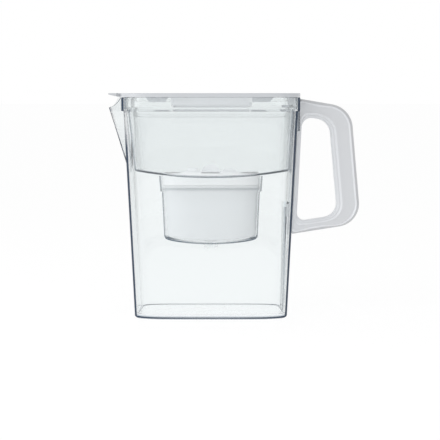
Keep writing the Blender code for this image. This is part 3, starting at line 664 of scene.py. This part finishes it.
rim_gap = 0.00005
rim_low = ledge_height + rim_gap
rim_top = jug_height - seat_gap
hopper_throat = (throat[0] - hopper_top_clearance, throat[1] - hopper_top_clearance)
hopper_rim = (socket[0] - seat_gap, socket[1] - seat_gap)
floor_share = hopper_floor / shoulder_height
floor_length = end_wall(hopper_floor) - jug_wall - hopper_low_clearance
floor_depth = foot_depth + (shoulder_depth - foot_depth) * floor_share - jug_wall - hopper_low_clearance


def hopper_rows(inset, top, radius):
    rows = rounded_foot(
        floor_length - inset, floor_depth - inset, hopper_floor + inset, radius, hopper_bow, hopper_shift
    )
    low = rim_low + inset
    return rows + [
        (hopper_throat[0] - inset, hopper_throat[1] - inset, low),
        (hopper_rim[0] - inset, hopper_rim[1] - inset, low),
        (hopper_rim[0] - inset, hopper_rim[1] - inset, top),
    ]


cup_length, cup_depth = ring_length - ring_taper - well_step, ring_depth - ring_taper - well_step
ring_low = (ring_length - ring_taper, ring_depth - ring_taper)
well_top = hopper_floor + hopper_wall
well_ledge = well_step_height + well_wall


def cup_rows(inset, rise, top):
    """Rows of the cup part of the well, drawn in by an inset and raised from its floor."""
    rows = rounded_foot(
        cup_length - cup_taper - inset, cup_depth - cup_taper - inset, cup_corner + rise, cup_radius, cup_bow
    )
    return rows + [(cup_length - inset, cup_depth - inset, top)]


hopper = loft("clear_hopper", jug_power, hopper_points, hopper_rows(0, rim_top, hopper_radius))
well = cup_rows(0, 0, well_step_height) + [
    (ring_low[0] - soft_start, ring_low[1] - soft_start, well_step_height),
    (*ring_low, well_step_height + soft_edge),
    (ring_length, ring_depth, well_top),
]
join(hopper, loft("well", well_power, well_points, well))
outlet_top, outlet_low = cup_corner + well_wall, cup_corner - outlet_drop
outlet_centre = (0, 0, (outlet_top + outlet_low) / 2)
join(hopper, rod("outlet", outlet_radius, outlet_centre, outlet_top - outlet_low, "Z", 48))
cut(hopper, loft("room", jug_power, hopper_points, hopper_rows(hopper_wall, rim_top + overrun, soft_edge)))
well_room = cup_rows(well_wall, well_wall, well_ledge) + [
    (ring_low[0] - well_wall, ring_low[1] - well_wall, well_ledge),
    (ring_length - well_wall, ring_depth - well_wall, well_top),
    (ring_length - well_wall, ring_depth - well_wall, well_top + hopper_bow),
]
cut(hopper, loft("well_room", well_power, well_points, well_room))
cut(hopper, rod("bore", outlet_bore, outlet_centre, outlet_top - outlet_low + 2 * overrun, "Z", 48))
close_up(hopper)

# The same plastic with a trace of grey, so the hopper reads a little darker than the jug below it
well_bow = cup_bow / (cup_length - cup_taper) ** 2
well_floor_top = cup_corner + well_wall
floor_edge_rise, root_half, root_height = 0.0006, 0.006, 0.0006
# The outlet's root is solid plastic given painted shade
outlet_root = ((0, 0, well_floor_top), (root_half, root_half, root_height), 0.75)
tinted_clear = clear_plastic(
    "tinted_clear_acrylonitrile", "#FAFBFB", "#C6CED2", (0.01, 0.03), "#3A5264", 0.6,
    (
        (cup_corner + well_wall / 2, well_bow, 1.0, 1.0),
        (hopper_floor + floor_edge_rise, hopper_bow / floor_length**2, 0.65, 0.25),
    ),
    (outlet_root,),
)
hopper.data.materials.append(tinted_clear)
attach(hopper, "hopper")
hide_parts("hopper")

# Filter cartridge: an oval drop-in cup in white polypropylene with a slotted cap and a raised grip,
# both moulded. A silicone seal sits under its flange, and meshes hold the bed of granules.

lift_gap = 0.0004
shell_wall, shell_rise = 0.0014, 0.0015
seal_height, flange_height = 0.002, 0.002
cap_height, cap_edge, cap_taper, cap_wall = 0.0146, 0.0012, 0.0008, 0.0014
slot_pitch, slot_half, slot_reach = 0.0055, 0.0011, 0.008
ramp_foot, ramp_top, ramp_inner_top, ramp_inner_foot = 0.0276, 0.024, 0.0143, 0.0107
ramp_rise, ramp_half = 0.0034, 0.013
grip_radius, grip_rise, grip_half = 0.0095, 0.0084, 0.006
rib_half, rib_end = 0.0006, 0.004
window_pitch, window_half, window_bar = 0.041, 0.0095, 0.001
window_low, window_high = 0.0018, 0.001
shell_inset = well_wall + lift_gap
flange_low = well_ledge + seat_gap + seal_height + seat_gap
flange_top = flange_low + flange_height
flange = (ring_low[0] - well_wall - lift_gap, ring_low[1] - well_wall - lift_gap)
rise = well_wall + shell_rise
shell = loft("cartridge_cup", well_power, well_points, cup_rows(shell_inset, rise, well_ledge) + [
    (cup_length - shell_inset, cup_depth - shell_inset, flange_low),
    (*flange, flange_low),
    (*flange, flange_top),
])
shell_room = cup_rows(shell_inset + shell_wall, rise + shell_wall, well_ledge) + [
    (cup_length - shell_inset - shell_wall, cup_depth - shell_inset - shell_wall, flange_top + overrun),
]
cut(shell, loft("shell_room", well_power, well_points, shell_room))
for index in range(5):
    x = slot_pitch * (index - 2)
    low = (x - slot_half, -slot_reach, cup_corner + rise - overrun)
    high = (x + slot_half, slot_reach, cup_corner + rise + shell_wall + cup_bow)
    cut(shell, block("outlet_slot", low, high))
close_up(shell)

cap_low = flange_top + seat_gap
cap_top = cap_low + cap_height
top_size = (flange[0] - cap_taper, flange[1] - cap_taper)
cap = loft("cartridge_lid", well_power, well_points, [
    (*flange, cap_low),
    (*top_size, cap_top - cap_edge),
    (top_size[0] - 0.3 * cap_edge, top_size[1] - 0.3 * cap_edge, cap_top - 0.3 * cap_edge),
    (top_size[0] - cap_edge, top_size[1] - cap_edge, cap_top),
])
for side in (-1, 1):
    ramp = [(ramp_foot, cap_top - bury), (ramp_top, cap_top + ramp_rise)]
    ramp += [(ramp_inner_top, cap_top + ramp_rise), (ramp_inner_foot, cap_top - bury)]
    join(cap, slab("ramp", [(side * x, z) for x, z in ramp], -ramp_half, ramp_half))
turns = [math.radians(degrees) for degrees in range(0, 181, 6)]
arch = [(grip_radius * math.cos(turn), cap_top + grip_rise * math.sin(turn)) for turn in turns]
arch += [(-grip_radius, cap_top - bury), (grip_radius, cap_top - bury)]
join(cap, slab("grip", arch, -grip_half, grip_half))
cut(cap, loft("cap_room", well_power, well_points, [
    (flange[0] - cap_wall, flange[1] - cap_wall, cap_low - overrun),
    (top_size[0] - cap_wall, top_size[1] - cap_wall, cap_top - cap_wall),
]))
# A moulded rib along the middle stops the view through the windows
rib_low = (rib_end - flange[0], -rib_half, cap_low)
join(cap, block("rib", rib_low, (flange[0] - rib_end, rib_half, cap_top - bury)))
for index in (-1, 0, 1):
    x = window_pitch * index
    for back, front in ((-ring_depth, -window_bar), (window_bar, ring_depth)):
        low = (x - window_half, back, cap_top - window_low)
        cut(cap, block("inlet_window", low, (x + window_half, front, cap_top - window_high)))
close_up(cap)

cartridge_white = white_plastic("white_cartridge_polypropylene", "#EAECEE", 0.9, 0.00003, (0.5, 0.65))
# The cap is the cup's white made lighter, as painted light where it sits in shade under the lid
cap_painted_light_white = white_plastic("white_cap_polypropylene_painted_light", "#FAFBFC", 0.9, 0.00003, (0.5, 0.65))
for piece, node_name, white in (
    (shell, "cartridge_shell", cartridge_white),
    (cap, "cartridge_cap", cap_painted_light_white),
):
    piece.data.materials.append(white)
    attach(piece, "cartridge")
    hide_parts(node_name)


def give(node_name, material):
    """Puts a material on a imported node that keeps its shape."""
    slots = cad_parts[node_name].data.materials
    slots.clear()
    slots.append(material)


# Translucent silicone: soft, slightly waxy, with the dust-fine matt of a moulded ring
silicone = white_plastic("soft_silicone", "#C4C8CB", 0.4, 0.00002, (0.55, 0.7))
give("cartridge_seal", silicone)

# Non-woven polyester mesh: its fibres are finer, and are drawn 1 mm apart so that they show
fibre_pitch = 0.001
fleece = start_material("nonwoven_polyester_mesh")
place = add(fleece, "TexCoord", {}).outputs["Object"]
waves = {"Vector": place, "Scale": 0.314 / fibre_pitch, "Distortion": 2.0}
warp, weft = (add(fleece, "TexWave", waves, bands_direction=axis).outputs["Fac"] for axis in "XY")
fibres = add(fleece, "Math", {0: warp, 1: weft}, operation="MULTIPLY")
tone = add(fleece, "Mix", {"Factor": fibres, 6: colour("#B9BDC1"), 7: colour("#E4E6E8")}, data_type="RGBA")
raised = add(fleece, "Bump", {"Height": fibres, "Strength": 0.6, "Distance": 0.0002})
cloth = {"Base Color": tone.outputs[2], "Roughness": 0.85, "Normal": raised}
cloth = add(fleece, "BsdfPrincipled", cloth)
add(fleece, "OutputMaterial", {"Surface": cloth})
give("inlet_screen", fleece)
give("outlet_screen", fleece)

# Coconut carbon and resin beads of about 1 mm: black grains with brown ones among them
bead_size = 0.001
granules = start_material("carbon_and_resin_granules")
place = add(granules, "TexCoord", {}).outputs["Object"]
cells = add(granules, "TexVoronoi", {"Vector": place, "Scale": 1 / bead_size})
mixed = add(granules, "ValToRGB", {"Fac": cells.outputs["Color"]})
mixed.color_ramp.interpolation = "CONSTANT"
mixed.color_ramp.elements[0].color = colour("#1D1B1A")
mixed.color_ramp.elements[1].position = 0.62
mixed.color_ramp.elements[1].color = colour("#6A4A2C")
heap = {"Height": cells.outputs["Distance"], "Strength": 0.9, "Distance": 0.0006}
heap = add(granules, "Bump", heap, invert=True)
bed = add(granules, "BsdfPrincipled", {"Base Color": mixed, "Roughness": 0.7, "Normal": heap})
add(granules, "OutputMaterial", {"Surface": bed})
give("filter_media", granules)

# Lid: a flat plate in white polypropylene that covers the collar, with locating tabs inside the rim,
# a refill throat under its middle and ears for the spout flap's pins. One moulding.

lid_low, lid_top, lid_edge = 0.228, 0.232, 0.0009
tab_wall, tab_slope, tab_depth, end_tab_depth = 0.0018, 0.004, 0.0052, 0.0075
throat_low_x, throat_high_x, throat_half, throat_wall, throat_depth = -0.041, 0.042, 0.031, 0.0018, 0.008
throat_radius, opening_radius = 0.004, 0.0022
barrel, pin, flap_thickness = 0.002, 0.001, 0.0022
hinge_height = lid_top - barrel
spout_hinge_x = -(collar_length + lift_gap + barrel)
opening_low_x, opening_high_x = throat_low_x + throat_wall, throat_high_x - throat_wall
opening_half = throat_half - throat_wall
refill_hinge_x = opening_low_x + lift_gap + barrel
flap_low = lid_top - flap_thickness
neck, ear_width, ear_root = 0.014, 0.003, 0.002
tab_spans, end_tab_start, zone_rise = ((-0.066, -0.042), (0.036, 0.064)), 0.078, 0.004
chamfer_near, chamfer_drop, chamfer_far = 0.001, 0.002, 0.004
rest_reach, rest_half = 0.0016, 0.018
scoop_radius, scoop_length, scoop_rise = 0.011, 0.0052, 0.0004
bore_inset, bore_length, pin_reach = 0.0007, 0.0034, 0.002


def plan(low_x, high_x, half_depth, radius, steps=8):
    """Rectangle in plan with round corners."""
    outline = []
    corners = [(high_x - radius, half_depth - radius, 0), (low_x + radius, half_depth - radius, 90)]
    corners += [(low_x + radius, radius - half_depth, 180), (high_x - radius, radius - half_depth, 270)]
    for x, y, first in corners:
        for step in range(steps + 1):
            angle = math.radians(first + 90 * step / steps)
            outline.append((x + radius * math.cos(angle), y + radius * math.sin(angle)))
    return outline


plate = [(collar_length, collar_depth, lid_low), (collar_length, collar_depth, lid_top - lid_edge)]
for angle in (30, 60, 90):
    inset = lid_edge * (1 - math.cos(math.radians(angle)))
    height = lid_top - lid_edge * (1 - math.sin(math.radians(angle)))
    plate.append((collar_length - inset, collar_depth - inset, height))
lid = loft("flat_lid", jug_power, jug_points, plate)

skirt_size = [size - jug_wall - seat_gap - hopper_wall - lift_gap for size in (collar_length, collar_depth)]
deepest = lid_low - end_tab_depth
within = [size - tab_wall for size in skirt_size]
skirt = loft("skirt", jug_power, jug_points, [(*skirt_size, deepest), (*skirt_size, lid_low + bury)])
high = lid_low + zone_rise
cut(skirt, loft("hollow", jug_power, jug_points, [(*within, deepest - overrun), (*within, high)]))
wide = collar_depth + overrun
zones = None
for near, far_end in tab_spans:
    low = lid_low - tab_depth
    outline = [(near + tab_slope, low), (far_end - tab_slope, low), (far_end, lid_low)]
    outline += [(far_end, high), (near, high), (near, lid_low)]
    zone = slab("zone", outline, -wide, wide)
    if zones:
        join(zones, zone)
    else:
        zones = zone
join(zones, block("end_zone", (end_tab_start, -wide, deepest - overrun), (collar_length, wide, high)))
keep(skirt, zones)
join(lid, skirt)

throat_low = lid_low - throat_depth
throat_plan = plan(throat_low_x, throat_high_x, throat_half, throat_radius)
join(lid, slab("throat", throat_plan, throat_low, lid_low + bury, "Z"))
opening_plan = plan(opening_low_x, opening_high_x, opening_half, opening_radius)
cut(lid, slab("opening", opening_plan, throat_low - overrun, lid_top + overrun, "Z"))
slot_high = (refill_hinge_x + barrel, opening_half, lid_top + overrun)
cut(lid, block("hinge_slot", (opening_low_x, -opening_half, lid_low), slot_high))
chamfer = [
    (opening_low_x + chamfer_near, lid_top - chamfer_drop),
    (opening_low_x + chamfer_near, lid_top + overrun),
    (opening_low_x - chamfer_far, lid_top + overrun),
    (opening_low_x - chamfer_near, lid_top),
]
cut(lid, slab("hinge_chamfer", chamfer, -opening_half, opening_half))
rest_top = flap_low - seat_gap
rest = [
    (opening_high_x + bury, rest_top - 2 * rest_reach),
    (opening_high_x + bury, rest_top),
    (opening_high_x - rest_reach, rest_top),
    (opening_high_x - rest_reach, rest_top - rest_reach),
]
join(lid, slab("flap_rest", rest, -rest_half, rest_half))
scoop_centre = (opening_high_x, 0, lid_top + scoop_rise)
cut(lid, rod("scoop", scoop_radius, scoop_centre, scoop_length, "Z", 64))
ear_half = neck + lift_gap
for side in (-1, 1):
    ear = [(ear_root - collar_length, lid_low), (ear_root - collar_length, lid_top)]
    ear += [
        (spout_hinge_x - barrel * math.sin(turn), hinge_height + barrel * math.cos(turn))
        for turn in (math.radians(degrees) for degrees in range(0, 181, 12))
    ]
    near, far_end = sorted((side * ear_half, side * (ear_half + ear_width)))
    join(lid, slab("ear", ear, near, far_end))
    ear_centre = (spout_hinge_x, side * (ear_half + ear_width / 2), hinge_height)
    cut(lid, rod("ear_bore", pin + seat_gap, ear_centre, ear_width + 2 * overrun))
    socket_centre = (refill_hinge_x, side * (opening_half + bore_inset), hinge_height)
    cut(lid, rod("hinge_socket", pin + seat_gap, socket_centre, bore_length))
close_up(lid)

# The throat's walls under the plate get painted light, a lighter colour
satin_lid = white_plastic(
    "satin_white_lid_polypropylene", "#C9CCD0", 0.7, 0.00003, (0.3, 0.42), "#F3F4F6", lid_low
)
lid.data.materials.append(satin_lid)
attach(lid, "lid")
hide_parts("lid")

# Refill flap: the lid's flip flap, a thin plate of the same white polypropylene that fills the
# throat. It tips up on pins moulded at its spout side, and the lid's scoop bares its other end.

flap_gap = opening_half - lift_gap
flap_plan = plan(refill_hinge_x, opening_high_x - lift_gap, flap_gap, opening_radius)
refill_flap = slab("flip_flap", flap_plan, flap_low, lid_top, "Z")
refill_centre = (refill_hinge_x, 0, hinge_height)
join(refill_flap, rod("barrel", barrel, refill_centre, 2 * flap_gap))
join(refill_flap, rod("pins", pin, refill_centre, 2 * (opening_half + pin_reach)))
close_up(refill_flap)
refill_flap.data.materials.append(satin_lid)
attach(refill_flap, "refill_flap")
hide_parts("refill_flap")

# Spout flap: a small V plate in white polypropylene that covers the spout and thins to its tip. It
# tips up on moulded pins between the lid's ears, pushed by the poured water.

flap_half, flap_reach, tip_thickness = 0.017, 0.0125, 0.0008
root_x = spout_hinge_x - barrel - lift_gap
tip_x = spout_hinge_x - flap_reach
outline = [(spout_hinge_x, -neck), (root_x, -neck)]
for step in range(nose_steps + 1):
    side = 2 * step / nose_steps - 1
    outline.append((root_x + (tip_x - root_x) * (1 - abs(side) ** nose_power), flap_half * side))
outline += [(root_x, neck), (spout_hinge_x, neck)]
spout_flap = slab("spout_cover", outline, lid_low, lid_top, "Z")
under = [
    (spout_hinge_x, lid_low),
    (tip_x - overrun, lid_top - tip_thickness),
    (tip_x - overrun, lid_low - barrel),
    (spout_hinge_x, lid_low - barrel),
]
cut(spout_flap, slab("under", under, -2 * flap_half, 2 * flap_half))
spout_centre = (spout_hinge_x, 0, hinge_height)
join(spout_flap, rod("barrel", barrel, spout_centre, 2 * neck))
join(spout_flap, rod("pins", pin, spout_centre, 2 * (neck + lift_gap + ear_width)))
close_up(spout_flap)
satin_flap = white_plastic("satin_white_flap_polypropylene", "#B7BABE", 0.7, 0.00003, (0.3, 0.42))
spout_flap.data.materials.append(satin_flap)
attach(spout_flap, "spout_flap")
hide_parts("spout_flap")

# Studio: a seamless white table and surroundings, with a tall soft box to each side of the camera
# and a larger key box further to the left. The table keeps the pitcher's soft shadow.

table_width, lamp_distance = 60, 1.2
table_glow = (0.69, 0.82)
sky_left, sky_right = 0.84, 0.70
camera_x, camera_distance, camera_tilt = 0.0095, 1.5, 5.07

scene = bpy.context.scene
scene.view_settings.view_transform = "Standard"
bpy.ops.object.select_all(action="DESELECT")
bpy.ops.mesh.primitive_plane_add(size=1)
table = bpy.context.object
table.name = "white_table"
bpy.ops.object.mode_set(mode="EDIT")
bpy.ops.transform.resize(value=(table_width, table_width, 1))
bpy.ops.object.mode_set(mode="OBJECT")
paper = start_material("white_table_paper")


def seen_share(tree):
    """1 for the rays that show the surroundings: the camera's, reflections and clear plastic."""
    path = add(tree, "LightPath", {})
    seen = path.outputs["Is Camera Ray"]
    for kind in ("Is Glossy Ray", "Is Transmission Ray"):
        seen = add(tree, "Math", {0: seen, 1: path.outputs[kind]}, operation="MAXIMUM")
    return seen


level = {"Value": seen_share(paper), "To Min": table_glow[0], "To Max": table_glow[1]}
level = add(paper, "MapRange", level)
matt = add(paper, "BsdfDiffuse", {"Color": colour("#808080")})
glow = add(paper, "Emission", {"Strength": level})
both = add(paper, "AddShader", {0: matt, 1: glow})
add(paper, "OutputMaterial", {"Surface": both})
table.data.materials.append(paper)

world = bpy.data.worlds.new("studio")
scene.world = world
world.use_nodes = True
world.node_tree.nodes.clear()
# Matt surfaces get a little more light from the left than from the right
way = add(world, "TexCoord", {}).outputs["Generated"]
way = add(world, "SeparateXYZ", {"Vector": way}).outputs["X"]
soft = add(world, "MapRange", {"Value": way, "From Min": -1.0, "To Min": sky_left, "To Max": sky_right})
level = add(world, "MapRange", {"Value": seen_share(world), "To Min": soft, "To Max": 1.0})
sky = add(world, "Background", {"Color": (1, 1, 1, 1), "Strength": level})
add(world, "OutputWorld", {"Surface": sky})

middle = Vector((0, 0, 0.12))
for name, azimuth, height, size, watts in (
    ("left_strip_box", -32, 0.1, (0.3, 1.1), 0.55),
    ("right_strip_box", 32, 0.1, (0.3, 1.1), 0.7),
    ("left_key_box", -56, 0.2, (0.8, 1.1), 5.5),
):
    box_lamp = bpy.data.lights.new(name, "AREA")
    box_lamp.shape = "RECTANGLE"
    box_lamp.size, box_lamp.size_y = size
    box_lamp.energy = watts
    lamp = bpy.data.objects.new(name, box_lamp)
    lamp.visible_transmission = False
    scene.collection.objects.link(lamp)
    turn = math.radians(azimuth)
    across, back = lamp_distance * math.sin(turn), lamp_distance * math.cos(turn)
    lamp.location = middle + Vector((across, -back, height))
    lamp.rotation_euler = (middle - lamp.location).to_track_quat("-Z", "Y").to_euler()

lens = bpy.data.cameras.new("camera")
lens.lens = 117.0
lens.sensor_width = 36
camera = bpy.data.objects.new("camera", lens)
scene.collection.objects.link(camera)
camera.location = (camera_x, -camera_distance, lid_top)
camera.rotation_euler = (math.radians(90 - camera_tilt), 0, 0)
scene.camera = camera
